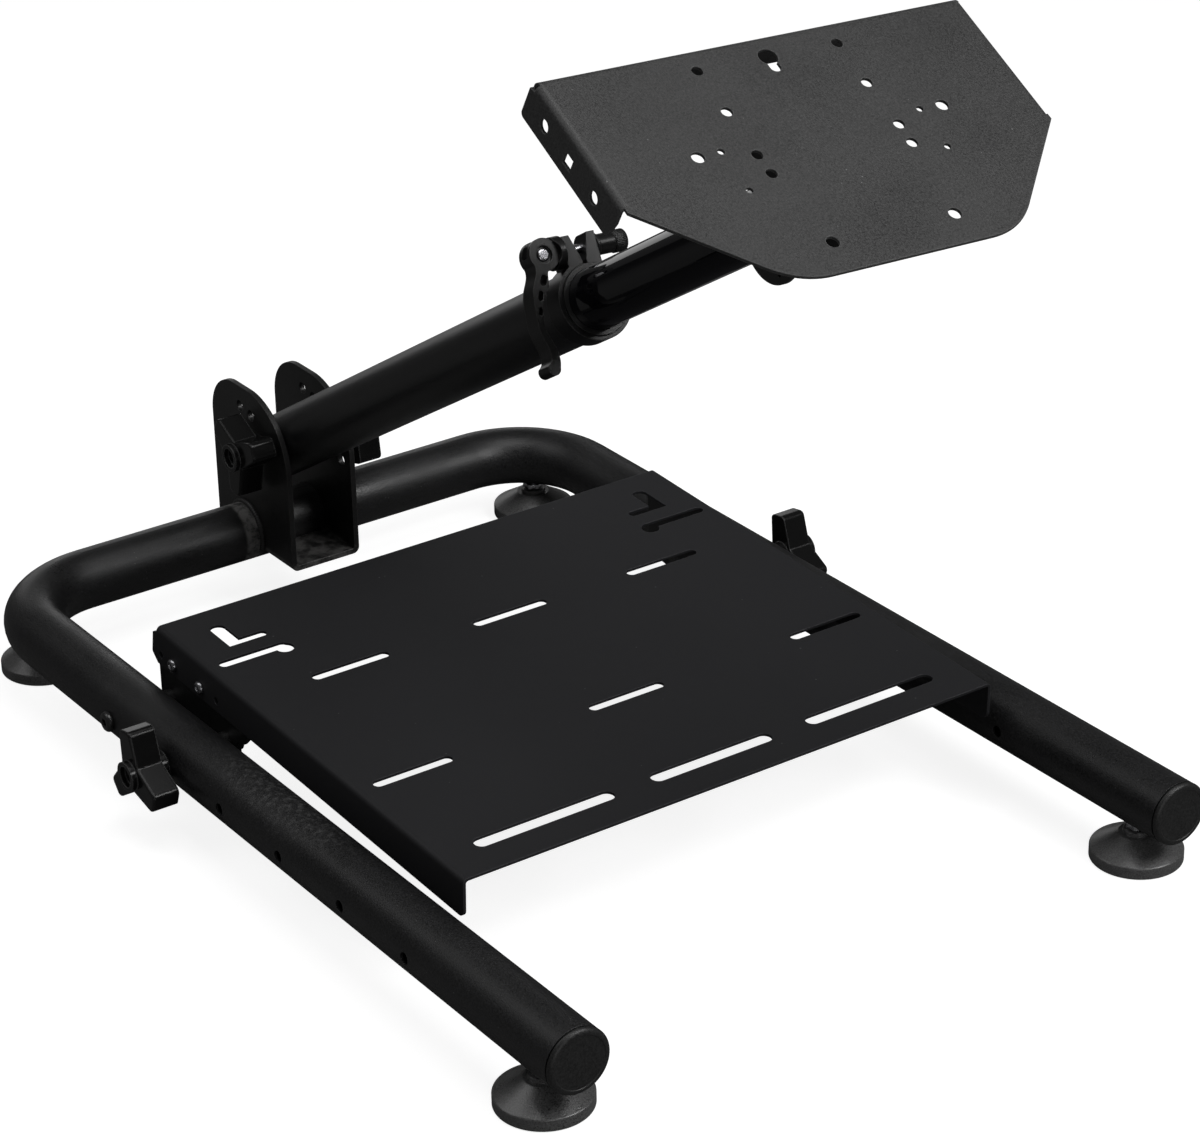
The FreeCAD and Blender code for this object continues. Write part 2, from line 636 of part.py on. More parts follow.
def hook_cut():
    """L-shaped slot near a far corner of the pedal plate."""
    x, far, near, r = HOOK
    end, v, leg_r = HOOK_LEG
    body = cyl(r, V(x, -far - r, -PP_T), Z, PP_T)
    body = body.fuse(box(x - r, -near, -PP_T, x + r, -far - r, 0))
    body = body.fuse(box(end + leg_r, -v - leg_r, -PP_T, x, -v + leg_r, 0))
    return body.fuse(cyl(leg_r, V(end + leg_r, -v, -PP_T), Z, PP_T))


def pedal_plate():
    h, d, t = PP_HALF, PP_DEPTH, PP_T
    body = channel(h, t, PP_FLANGE, PP_BEND, PP_LIP, -d)
    slope = PP_FLANGE - PP_LIP + 1
    body = body.common(side([(0, 0), (0, -PP_BEND), (PP_LIP - 2, -PP_BEND - 2), (PP_LIP, -slope, 2),
                             (0, -PP_FLANGE, 2), (-d, -PP_FLANGE, PP_CORNER_R), (-d, 0)], -h, 2 * h))
    cuts = []
    for u, v, half, r in SLOTS:
        cuts.append(slot_x(u - half + r, u + half - r, -v, r, -t, t))
    x0, x1, v, r = KEY_SLOT
    cuts.append(slot_x(x0, x1 - r, -v, r, -t, t))
    x, v, r = KEY_END
    cuts += [cyl(r, V(x, -v, -t), Z, t), hook_cut()]
    for c in cuts:
        body = body.cut(c)
        if c.BoundBox.XMin > 0:
            body = body.cut(mirror(c))
    for points, r in ((DECK_SCREWS, DECK_SCREW_R), (DECK_HOLES, DECK_HOLE_R)):
        for v, drop in points:
            body = body.cut(cyl(r, V(-h, -v, -drop), X, 2 * h))
    return deck_place(body)


def pedal_bracket(s):
    """Plate inside a flange; it hangs down past the leg and carries the lock slot."""
    y0, y1 = leg_hole_y(0), leg_hole_y(1)
    x = PP_HALF - PP_T - PB_T
    pts = [(y0 + PB_REAR, TUBE_Z + PB_TOP), (y0 + PB_REAR, TUBE_Z - PB_LOW, PB_LOW - 1),
           (y1 + PB_NOSE[0][0], TUBE_Z - PB_LOW - PB_SAG, PB_LOW - 1)]
    pts += [(y1 + a, TUBE_Z + b, r) for a, b, r in PB_NOSE]
    body = side(pts, x, PB_T)
    body = body.cut(cyl(LEG_BOLT_R + FIT, V(x, y0, TUBE_Z), X, PB_T))
    body = body.cut(arc_slot(V(x, y0, TUBE_Z), V(x, y1, TUBE_Z), LEG_BOLT_R + SEAT, 0, DECK_TILT, PB_T))
    for v, drop in DECK_SCREWS:
        body = body.cut(deck_place(cyl(DECK_SCREW_R, V(x, -v, -drop), X, PB_T)))
    return body if s > 0 else mirror(body)


def leg_bolt(s, y, past, head):
    """Bolt through a leg and a pedal bracket; it ends past the leg's outer side."""
    x0 = PP_HALF - PP_T - PB_T - LEG_NUT - LEG_NUT_PAST
    x1 = LEG_X + TUBE_R
    body = bolt_x(x0, x1 + past, y, TUBE_Z, LEG_BOLT_R)
    body = body.fuse(cyl(LEG_NUT_R, V(x0 + LEG_NUT_PAST, y, TUBE_Z), X, LEG_NUT))
    if head:
        cap = turned([(0, 0), (HEAD_R, 0), (HEAD_R, HEAD, HEAD / 2), (0, HEAD)])
        cap.rotate(O, Y, 90)
        body = body.fuse(moved(cap, x1, y, TUBE_Z))
    body = body.removeSplitter()
    return body if s > 0 else mirror(body)


def leg_spacer(s, y):
    """Saddle-ended sleeve between a bracket and the leg."""
    x0, x1 = PP_HALF - PP_T, LEG_X - sqrt(TUBE_R ** 2 - SPACER_R ** 2)
    body = ring(SPACER_R, LEG_BOLT_R, V(x0, y, TUBE_Z), X, x1 - x0)
    body = body.cut(cyl(TUBE_R, V(LEG_X, y - SPACER_R, TUBE_Z), Y, 2 * SPACER_R))
    return body if s > 0 else mirror(body)


def base_nodes():
    nodes = {"base_frame": base_frame(), "post_bracket": post_bracket()}
    for name, (x, y) in foot_spots().items():
        nodes["foot_" + name] = foot(x, y)
        nodes["foot_stud_" + name] = foot_stud(x, y)
    w = EAR_IN + EAR_T
    nut = w + WASHER_T + NUT_T
    nodes["post_bolt"] = bolt_x(-w - KNOB_GRIP, nut + KNOB_GRIP, PIVOT_Y, PIVOT_Z, PIVOT_R)
    nodes["post_nut"] = post_nut()
    nodes["post_knob_left"] = moved(knob(LEFT_KNOB_AT, PIVOT_R), -w, PIVOT_Y, PIVOT_Z)
    nodes["post_knob_right"] = moved(mirror(knob(RIGHT_KNOB_AT, PIVOT_R)), nut, PIVOT_Y, PIVOT_Z)
    return nodes


def post_nodes():
    return {"post_tube": post_tube(), "post_bushing": post_bushing(),
            "clamp_collar": clamp_collar(), "clamp_bolt": clamp_bolt(), "clamp_nut": clamp_nut(),
            "clamp_washer": clamp_cup(), "clamp_lever": clamp_lever(), "lever_pin": lever_pin(),
            "inner_tube": inner_tube(), "wheel_bracket": wheel_bracket(),
            "wheel_plate": wheel_plate(), "wheel_pivot_bolt": top_bolt(WP_PIVOT),
            "wheel_lock_bolt": top_bolt(WP_PIVOT + WP_LOCK)}


def deck_nodes():
    nodes = {"pedal_plate": pedal_plate()}
    y0, y1 = leg_hole_y(0), leg_hole_y(1)
    for s, name in ((-1, "left"), (1, "right")):
        nodes["leg_cap_" + name] = leg_cap(s)
        nodes["pedal_bracket_" + name] = pedal_bracket(s)
        nodes["pedal_pivot_bolt_" + name] = leg_bolt(s, y0, 0, True)
        nodes["pedal_lock_bolt_" + name] = leg_bolt(s, y1, KNOB_GRIP, False)
        k = moved(knob(PEDAL_KNOB_AT, LEG_BOLT_R), -LEG_X - TUBE_R, y1, TUBE_Z)
        nodes["pedal_knob_" + name] = k if s < 0 else mirror(k)
        nodes["pedal_spacer_rear_" + name] = leg_spacer(s, y0)
        nodes["pedal_spacer_front_" + name] = leg_spacer(s, y1)
    return nodes


def main():
    os.makedirs("parts", exist_ok=True)
    nodes = {**base_nodes(), **post_nodes(), **deck_nodes()}
    whole = Part.makeCompound(list(nodes.values())).BoundBox
    for name, shape in nodes.items():
        if len(shape.Solids) != 1 or not shape.isValid():
            print(name, "has", len(shape.Solids), "solids, valid", shape.isValid())
        if len(shape.Solids) == 1:
            shape = shape.Solids[0]
        shape = moved(shape, 0, -(whole.YMin + whole.YMax) / 2, 0)
        shape.exportStep("parts/%s.step" % name)
        b = shape.BoundBox
        print("%-24s %8.3f %8.3f %8.3f %8.3f %8.3f %8.3f" % (
            name, b.XMin, b.XMax, b.YMin, b.YMax, b.ZMin, b.ZMax))


main()
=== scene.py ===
from math import cos, pi, radians, sin

import bpy
import numpy as np
from mathutils import Matrix, Vector


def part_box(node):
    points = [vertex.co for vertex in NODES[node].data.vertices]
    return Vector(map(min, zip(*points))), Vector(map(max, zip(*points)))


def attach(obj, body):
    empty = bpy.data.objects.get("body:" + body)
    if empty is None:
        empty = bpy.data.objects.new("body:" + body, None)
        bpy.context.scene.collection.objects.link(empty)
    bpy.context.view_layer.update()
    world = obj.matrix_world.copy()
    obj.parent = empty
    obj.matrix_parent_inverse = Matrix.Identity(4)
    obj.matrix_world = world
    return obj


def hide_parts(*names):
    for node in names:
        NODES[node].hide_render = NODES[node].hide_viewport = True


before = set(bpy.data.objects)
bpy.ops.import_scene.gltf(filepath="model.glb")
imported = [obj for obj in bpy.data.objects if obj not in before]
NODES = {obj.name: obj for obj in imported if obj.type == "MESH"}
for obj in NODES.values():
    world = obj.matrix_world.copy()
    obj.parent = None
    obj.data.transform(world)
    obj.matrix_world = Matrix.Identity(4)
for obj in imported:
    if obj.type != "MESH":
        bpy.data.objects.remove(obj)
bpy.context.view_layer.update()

SCENE = bpy.context.scene

# ---- places, in metres and degrees; the legs run towards -Y ----

bracket_low, bracket_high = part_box("post_bracket")
BRACKET_BEHIND_BAR = 0.042
BAR_Y = float(bracket_high[1]) - BRACKET_BEHIND_BAR
BAR_Z = 0.0472
TUBE_R = 0.0212
EAR_FACE = float(bracket_high[0])
BRACKET_UNDER = float(bracket_low[2])
LEG_X = 0.22675
LEG_END_Y = BAR_Y - 0.7015
REAR_LEG_HOLE_Y = BAR_Y - 0.196
DECK_SIDE = float(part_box("pedal_plate")[1][0])
SCUFF_AT = (-LEG_X, BAR_Y - 0.385, BAR_Z + TUBE_R * 0.6)

POST_PIVOT_AHEAD, POST_PIVOT_Z = 0.028, 0.1214
POST_SLOPE, CLAMP_TURN, TOP_TURN = 31.24, -3.0, -2.16
WHEEL_PIVOT_ALONG = 0.673
PLATE_SLOPE, PLATE_BEHIND_PIVOT, PLATE_OVER_PIVOT = 28.55, 0.07696, 0.05645
DECK_SLOPE, DECK_BEHIND_HOLE, DECK_OVER_BAR = 2.43, 0.0111, 0.051
CLAMP_BOLT_UP, CLAMP_BOLT_ALONG, CLAMP_EAR_X = 0.033513, 0.437, 0.012

# the photograph's camera
CAMERA_AT = (-1.1834, -2.1188 + BAR_Y, 1.2015)
CAMERA_TURN, CAMERA_FALL, CAMERA_LEAN = radians(-34.65), radians(26.39), radians(-1.15)
FOCAL_PX, PHOTO_WIDTH, SENSOR_MM = 3671.0, 1200.0, 36.0

# name, place, aimed at, width and height, watts
LAMPS = (
    ("front_light", (0.98, -1.80, 1.95), (0.0, -0.1, 0.2), (1.2, 0.85), 34),
    ("fill_light", (-1.1, -2.9, 0.6), (0.0, -0.4, 0.1), (0.9, 0.7), 7),
    ("top_light", (0.0, -0.4, 2.5), (0.0, -0.2, 0.1), (1.4, 1.4), 16),
    ("back_right_light", (0.95, 2.6, 0.48), (0.0, -0.3, 0.38), (1.8, 0.8), 4.0),
    ("back_left_light", (-1.5, 1.0, 2.3), (0.0, -0.3, 0.2), (1.5, 1.5), 10))


def shift(x, y, z):
    """A move, as a 4 x 4 matrix."""
    m = np.eye(4)
    m[:3, 3] = (x, y, z)
    return m


def turn_x(degrees):
    """A turn about X, as a 4 x 4 matrix."""
    c, s = cos(radians(degrees)), sin(radians(degrees))
    return np.array([[1, 0, 0, 0], [0, c, -s, 0], [0, s, c, 0], [0, 0, 0, 1.0]])


def turn_z(degrees):
    """A turn about Z, as a 4 x 4 matrix."""
    c, s = cos(radians(degrees)), sin(radians(degrees))
    return np.array([[c, -s, 0, 0], [s, c, 0, 0], [0, 0, 1, 0], [0, 0, 0, 1.0]])


# a piece made along Z then points outward, to the right or to the left
TO_RIGHT = np.array([[0, 0, 1, 0], [0, 1, 0, 0], [-1, 0, 0, 0], [0, 0, 0, 1.0]])
TO_LEFT = np.array([[0, 0, -1, 0], [0, 1, 0, 0], [1, 0, 0, 0], [0, 0, 0, 1.0]])
SIDES = ((-1, "left", TO_LEFT), (1, "right", TO_RIGHT))

POST_PLACE = shift(0, BAR_Y - POST_PIVOT_AHEAD, POST_PIVOT_Z) @ turn_x(90 - POST_SLOPE)
CLAMP_PLACE = POST_PLACE @ turn_z(CLAMP_TURN)
TOP_PLACE = POST_PLACE @ turn_z(TOP_TURN) @ shift(0, 0, WHEEL_PIVOT_ALONG)
PLATE_PLACE = (TOP_PLACE @ turn_x(PLATE_SLOPE + POST_SLOPE - 90)
               @ shift(0, PLATE_BEHIND_PIVOT, PLATE_OVER_PIVOT))
DECK_PLACE = (shift(0, REAR_LEG_HOLE_Y + DECK_BEHIND_HOLE, BAR_Z + DECK_OVER_BAR)
              @ turn_x(DECK_SLOPE))


# ---- camera, light and floor ----

def camera():
    """Camera that looks down by the fall angle, turned about Z and leaning slightly."""
    turn, fall, lean = CAMERA_TURN, CAMERA_FALL, CAMERA_LEAN
    nearest, furthest = 0.05, 60.0
    back = Vector((sin(turn) * cos(fall), -cos(turn) * cos(fall), sin(fall)))
    level = Vector((cos(turn), sin(turn), 0.0))
    up = back.cross(level)
    x = cos(lean) * level + sin(lean) * up
    y = -sin(lean) * level + cos(lean) * up
    place = Matrix((x, y, back)).transposed().to_4x4()
    place.translation = CAMERA_AT
    data = bpy.data.cameras.new("camera")
    data.sensor_fit = "HORIZONTAL"
    data.sensor_width = SENSOR_MM
    data.lens = FOCAL_PX * SENSOR_MM / PHOTO_WIDTH
    data.clip_start, data.clip_end = nearest, furthest
    cam = bpy.data.objects.new("camera", data)
    cam.matrix_world = place
    SCENE.collection.objects.link(cam)
    SCENE.camera = cam


def softbox(name, at, aim, size, watts):
    """Rectangular lamp that faces the point it is aimed at."""
    data = bpy.data.lights.new(name, "AREA")
    data.shape = "RECTANGLE"
    data.size, data.size_y = size
    data.energy = watts
    lamp = bpy.data.objects.new(name, data)
    lamp.location = at
    lamp.rotation_euler = (Vector(aim) - Vector(at)).to_track_quat("-Z", "Y").to_euler()
    SCENE.collection.objects.link(lamp)


def studio():
    """Even dim surroundings that the camera sees as white."""
    dim, white = 0.07, 1.0
    world = bpy.data.worlds.new("studio")
    SCENE.world = world
    world.use_nodes = True
    tree = world.node_tree
    tree.nodes.clear()
    out = tree.nodes.new("ShaderNodeOutputWorld")
    mix = tree.nodes.new("ShaderNodeMixShader")
    path = tree.nodes.new("ShaderNodeLightPath")
    tree.links.new(path.outputs["Is Camera Ray"], mix.inputs[0])
    for i, strength in ((1, dim), (2, white)):
        sky = tree.nodes.new("ShaderNodeBackground")
        sky.inputs["Color"].default_value = (1.0, 1.0, 1.0, 1.0)
        sky.inputs["Strength"].default_value = strength
        tree.links.new(sky.outputs[0], mix.inputs[i])
    tree.links.new(mix.outputs[0], out.inputs["Surface"])


def floor():
    """Pale floor. The camera sees it almost white near the stand, where it keeps a faint shadow,
    and plain white further out, where it meets the white surroundings."""
    half, level = 20.0, -0.0003
    shadow_edge, white_from = 1.0, 2.2
    pale, shaded, glow_level = 0.16, 0.40, 0.87
    dull, faint_shine = 0.95, 0.1
    corners = ((-half, -half), (half, -half), (half, half), (-half, half))
    me = bpy.data.meshes.new("floor")
    me.from_pydata([(x, y, level) for x, y in corners], [], [(0, 1, 2, 3)])
    o = bpy.data.objects.new("floor", me)
    SCENE.collection.objects.link(o)
    mat = bpy.data.materials.new("pale_floor")
    mat.use_nodes = True
    b = Bench(mat.node_tree)
    body = b.nodes["Principled BSDF"]
    body.inputs["Base Color"].default_value = (pale, pale, pale, 1.0)
    body.inputs["Roughness"].default_value = dull
    body.inputs["Specular IOR Level"].default_value = faint_shine
    far = b.nodes.new("ShaderNodeVectorMath")
    far.operation = "LENGTH"
    b.link(b.object_point(), far.inputs[0])
    out = b.step(far.outputs["Value"], shadow_edge, white_from)
    seen = b.nodes.new("ShaderNodeBsdfDiffuse")
    b.link(b.blend(out, (shaded, shaded, shaded, 1.0), (0.0, 0.0, 0.0, 1.0)), seen.inputs["Color"])
    glow = b.nodes.new("ShaderNodeEmission")
    b.link(b.add(b.times(out, 1.0 - glow_level), glow_level), glow.inputs["Strength"])
    both = b.nodes.new("ShaderNodeAddShader")
    mix = b.nodes.new("ShaderNodeMixShader")
    path = b.nodes.new("ShaderNodeLightPath")
    b.link(seen.outputs[0], both.inputs[0])
    b.link(glow.outputs[0], both.inputs[1])
    b.link(path.outputs["Is Camera Ray"], mix.inputs[0])
    b.link(body.outputs[0], mix.inputs[1])
    b.link(both.outputs[0], mix.inputs[2])
    b.link(mix.outputs[0], b.nodes["Material Output"].inputs["Surface"])
    me.materials.append(mat)


# ---- node groups ----

class Bench:
    """Short calls for building a node tree."""

    def __init__(self, tree):
        self.nodes, self.link = tree.nodes, tree.links.new

    def plug(self, node, index, value):
        """Links a socket, or sets a plain value."""
        if isinstance(value, bpy.types.NodeSocket):
            self.link(value, node.inputs[index])
        else:
            node.inputs[index].default_value = value

    def math(self, operation, a, b):
        m = self.nodes.new("ShaderNodeMath")
        m.operation = operation
        self.plug(m, 0, a)
        self.plug(m, 1, b)
        return m.outputs[0]

    def add(self, a, b):
        return self.math("ADD", a, b)

    def take(self, a, b):
        return self.math("SUBTRACT", a, b)

    def times(self, a, b):
        return self.math("MULTIPLY", a, b)

    def step(self, value, low, high):
        """0 below low, 1 above high, smooth between."""
        m = self.nodes.new("ShaderNodeMapRange")
        m.interpolation_type = "SMOOTHSTEP"
        for i, v in enumerate((value, low, high, 0.0, 1.0)):
            self.plug(m, i, v)
        return m.outputs[0]

    def noise(self, vector, scale, detail, rough):
        n = self.nodes.new("ShaderNodeTexNoise")
        self.link(vector, n.inputs["Vector"])
        self.plug(n, n.inputs.find("Scale"), scale)
        n.inputs["Detail"].default_value = detail
        n.inputs["Roughness"].default_value = rough
        return n.outputs["Fac"]

    def patches(self, vector, scale, detail, rough, none, full):
        """Smooth-edged patches: 0 where the noise is below none, 1 where it is above full."""
        return self.step(self.noise(vector, scale, detail, rough), none, full)

    def blend(self, share, a, b):
        """Colour a where share is 0, colour b where it is 1."""
        m = self.nodes.new("ShaderNodeMix")
        m.data_type = "RGBA"
        for i, v in ((0, share), (6, a), (7, b)):
            self.plug(m, i, v)
        return m.outputs[2]

    def object_point(self):
        return self.nodes.new("ShaderNodeTexCoord").outputs["Object"]

    def parts(self, vector):
        s = self.nodes.new("ShaderNodeSeparateXYZ")
        self.link(vector, s.inputs[0])
        return s.outputs


def new_group(name, ins, outs):
    """Node group with named inputs and outputs; returns it, its bench, what it is given and what
    it puts out."""
    g = bpy.data.node_groups.new(name, "ShaderNodeTree")
    for key, value in ins:
        kind = "Color" if isinstance(value, tuple) else "Float"
        s = g.interface.new_socket(name=key, in_out="INPUT", socket_type="NodeSocket" + kind)
        s.default_value = value
    for key, kind in outs:
        g.interface.new_socket(name=key, in_out="OUTPUT", socket_type="NodeSocket" + kind)
    given, result = g.nodes.new("NodeGroupInput"), g.nodes.new("NodeGroupOutput")
    return g, Bench(g), given.outputs, result.inputs


def coat_group():
    """Sprayed coat: bright specks and clouds in the colour, edges made paler where the softened
    normal leaves the plain one (partly wear, partly a painted highlight for light caught on the
    edges), a broken gloss and a pebbled skin. The skin's height and the softened normal leave as
    one normal."""
    cloud_scale, bevel_samples = 13.0, 4
    flat, painted_light_and_wear = 0.985, 0.80
    g, b, given, result = new_group("coat_grain", [
        ("Colour", (0.02, 0.02, 0.02, 1.0)), ("Grain Scale", 1500.0), ("Speckle", 0.2),
        ("Cloud", 0.15), ("Base Roughness", 0.5), ("Gloss Change", 0.08), ("Skin", 0.2),
        ("Skin Height", 0.0002), ("Edge Radius", 0.0006), ("Edge Highlight And Wear", 0.5)],
        [("Color", "Color"), ("Roughness", "Float"), ("Normal", "Vector")])
    at = b.object_point()
    grain = b.noise(at, given["Grain Scale"], detail=2.0, rough=0.6)
    fine = b.take(grain, 0.5)
    cloud = b.take(b.noise(at, cloud_scale, detail=4.0, rough=0.6), 0.5)
    shade = b.add(b.add(b.times(cloud, given["Cloud"]), b.times(fine, given["Speckle"])), 1.0)

    # paler rim along edges: partly wear, partly painted highlight
    soft_edge = b.nodes.new("ShaderNodeBevel")
    soft_edge.samples = bevel_samples
    b.link(given["Edge Radius"], soft_edge.inputs["Radius"])
    bend = b.nodes.new("ShaderNodeVectorMath")
    bend.operation = "DOT_PRODUCT"
    b.link(soft_edge.outputs[0], bend.inputs[0])
    b.link(b.nodes.new("ShaderNodeNewGeometry").outputs["Normal"], bend.inputs[1])
    rim = b.step(bend.outputs["Value"], flat, painted_light_and_wear)
    shade = b.add(shade, b.times(rim, given["Edge Highlight And Wear"]))

    tint = b.nodes.new("ShaderNodeVectorMath")
    tint.operation = "SCALE"
    b.link(given["Colour"], tint.inputs[0])
    b.link(shade, tint.inputs["Scale"])
    b.link(tint.outputs[0], result["Color"])

    change = b.times(b.add(cloud, fine), given["Gloss Change"])
    b.link(b.add(change, given["Base Roughness"]), result["Roughness"])

    pebbles = b.nodes.new("ShaderNodeBump")
    b.link(given["Skin"], pebbles.inputs["Strength"])
    b.link(given["Skin Height"], pebbles.inputs["Distance"])
    b.link(grain, pebbles.inputs["Height"])
    b.link(soft_edge.outputs[0], pebbles.inputs["Normal"])
    b.link(pebbles.outputs["Normal"], result["Normal"])
    return g


def dust_group():
    """Mask of sparse pale specks of dust and lint, with a few larger smears."""
    largest_speck = 0.16
    g, b, given, result = new_group(
        "dust_specks", [("Speck Scale", 160.0), ("Amount", 0.1), ("Smear", 0.2)],
        [("Mask", "Float")])
    at = b.object_point()
    cell = b.nodes.new("ShaderNodeTexVoronoi")
    b.link(at, cell.inputs["Vector"])
    b.link(given["Speck Scale"], cell.inputs["Scale"])
    draw = b.parts(cell.outputs["Color"])
    chance = b.math("LESS_THAN", draw[0], given["Amount"])
    speck = b.math("LESS_THAN", cell.outputs["Distance"], b.times(draw[1], largest_speck))
    smears = b.patches(at, scale=38.0, detail=6.0, rough=0.7, none=0.60, full=0.78)
    smear = b.times(smears, given["Smear"])
    b.link(b.math("MAXIMUM", b.times(chance, speck), smear), result["Mask"])
    return g


COAT = coat_group()
DUST = dust_group()


# ---- materials ----

def surface(name, colour, rough, grain=1500.0, speckle=0.2, cloud=0.15, gloss=0.08, skin=0.2,
            height=0.0002, metallic=0.0, specular=0.5, edge=0.0006, edge_highlight_and_wear=0.5):
    """Principled surface fed by the coat group; returns the material, its bench and its shader."""
    m = bpy.data.materials.new(name)
    m.use_nodes = True
    b = Bench(m.node_tree)
    shader = b.nodes["Principled BSDF"]
    g = b.nodes.new("ShaderNodeGroup")
    g.node_tree = COAT
    # the edge input paints edges paler: partly wear, partly painted highlight
    for key, value in (("Colour", (*colour, 1.0)), ("Base Roughness", rough),
                       ("Grain Scale", grain), ("Speckle", speckle), ("Cloud", cloud),
                       ("Gloss Change", gloss), ("Skin", skin), ("Skin Height", height),
                       ("Edge Radius", edge), ("Edge Highlight And Wear", edge_highlight_and_wear)):
        g.inputs[key].default_value = value
    b.link(g.outputs["Color"], shader.inputs["Base Color"])
    b.link(g.outputs["Roughness"], shader.inputs["Roughness"])
    b.link(g.outputs["Normal"], shader.inputs["Normal"])
    shader.inputs["Metallic"].default_value = metallic
    shader.inputs["Specular IOR Level"].default_value = specular
    return m, b, shader


def over(b, shader, mask, colour):
    """Lays a colour over the base colour where the mask is 1."""
    base = shader.inputs["Base Color"].links[0].from_socket
    b.link(b.blend(mask, base, (*colour, 1.0)), shader.inputs["Base Color"])


def dusty(b, shader, colour, scale, amount, smear):
    """Strews specks and smears of dust of a colour."""
    g = b.nodes.new("ShaderNodeGroup")
    g.node_tree = DUST
    for key, value in (("Speck Scale", scale), ("Amount", amount), ("Smear", smear)):
        g.inputs[key].default_value = value
    over(b, shader, g.outputs["Mask"], colour)


def near(b, at, centre, reach):
    """1 at a centre, falling to 0 at the given distances along X, Y and Z: the squares of the
    three distances over their reaches are added up."""
    total = 0.0
    for part, c, r in zip(b.parts(at), centre, reach):
        total = b.add(b.math("POWER", b.math("DIVIDE", b.take(part, c), r), 2.0), total)
    return b.step(total, 1.0, 0.0)


def tube_paint():
    """Textured black paint, with a scuffed patch on the left leg and a pale ring by the left ear:
    scraped paint, made paler still as painted light over the shadow that the ear casts there."""
    scuff_reach, scuff_depth, scuff_colour = (0.022, 0.10, 0.030), 0.8, (0.10, 0.10, 0.10)
    ring_width, fade_out, fade_in = 0.0145, 0.003, 0.002
    ring_scrape_and_light_depth, ring_scrape_and_light_colour = 0.9, (0.27, 0.265, 0.26)
    m, b, s = surface("tube_powder_coat", (0.011, 0.011, 0.0115), 0.42, grain=1000, speckle=3.6,
                      cloud=0.6, gloss=0.5, skin=0.8)
    dusty(b, s, (0.09, 0.09, 0.09), scale=420, amount=0.14, smear=0.14)
    at = b.object_point()
    streaks = b.patches(at, scale=260.0, detail=5.0, rough=0.75, none=0.45, full=0.75)
    scuff = b.times(near(b, at, SCUFF_AT, scuff_reach), streaks)
    over(b, s, b.times(scuff, scuff_depth), scuff_colour)
    # pale ring by the left ear: scraped paint plus painted light over the ear's shadow
    x = b.parts(at)[0]
    ring = b.times(b.step(x, -EAR_FACE - ring_width, -EAR_FACE - ring_width + fade_out),
                   b.step(x, -EAR_FACE + fade_in, -EAR_FACE))
    painted_light_and_wear = b.patches(at, scale=120.0, detail=4.0, rough=0.7, none=0.30, full=0.62)
    over(b, s, b.times(b.times(ring, painted_light_and_wear), ring_scrape_and_light_depth), ring_scrape_and_light_colour)
    return m


def bracket_paint():
    """Black paint, paler along the bracket floor: painted light over its shade, with some wear."""
    plain_above, painted_light_below, painted_light_depth = 0.0075, 0.0045, 0.9
    m, b, s = surface("bracket_powder_coat", (0.010, 0.010, 0.010), 0.42, grain=620, speckle=1.4,
                      cloud=0.4, gloss=0.2, skin=0.3, edge=0.001, edge_highlight_and_wear=2.5)
    at = b.object_point()
    # painted light: the bracket floor made paler in patches where it lies in shade
    low = b.step(b.parts(at)[2], BRACKET_UNDER + plain_above, BRACKET_UNDER + painted_light_below)
    painted_light_and_wear = b.patches(at, scale=90.0, detail=5.0, rough=0.7, none=0.35, full=0.62)
    over(b, s, b.times(b.times(low, painted_light_and_wear), painted_light_depth), (0.105, 0.103, 0.100))
    return m


def plate_sand():
    """Grey-black sanded coat with bright grains, on the wheel plate."""
    m, b, s = surface("wheel_plate_sand_coat", (0.042, 0.042, 0.042), 0.48, grain=900, speckle=2.2,
                      cloud=0.10, gloss=0.4, skin=0.8, edge=0.0013, edge_highlight_and_wear=2.0)
    dusty(b, s, (0.16, 0.16, 0.16), scale=330, amount=0.05, smear=0.05)
    return m


def deck_matt():
    """Smooth matt black coat with a few grains of dust, on the pedal plate."""
    m, b, s = surface("pedal_plate_matt_coat", (0.0150, 0.0150, 0.0168), 0.60, grain=1200,
                      speckle=0.5, cloud=0.12, gloss=0.1, skin=0.12, specular=0.35, edge=0.001,
                      edge_highlight_and_wear=2.5)
    dusty(b, s, (0.07, 0.07, 0.072), scale=240, amount=0.02, smear=0.04)
    return m


TUBE_PAINT = tube_paint()
PLATE_SAND = plate_sand()
DECK_MATT = deck_matt()
BRACKET_PAINT = bracket_paint()
POST_PAINT = surface("post_powder_coat", (0.0095, 0.0095, 0.0100), 0.36, speckle=0.4, cloud=0.3,
                     gloss=0.15, skin=0.15)[0]
INNER_GLOSS = surface("inner_tube_gloss", (0.004, 0.004, 0.005), 0.05, grain=120, speckle=0.0,
                      cloud=0.2, gloss=0.02, skin=0.01, specular=0.4)[0]
# the strong paler edges here are mostly painted highlight, with some wear
ANODISED = surface("anodised_black", (0.005, 0.005, 0.005), 0.33, grain=1400, speckle=0.3,
                   cloud=0.1, skin=0.08, specular=0.45, edge=0.0008, edge_highlight_and_wear=11.0)[0]
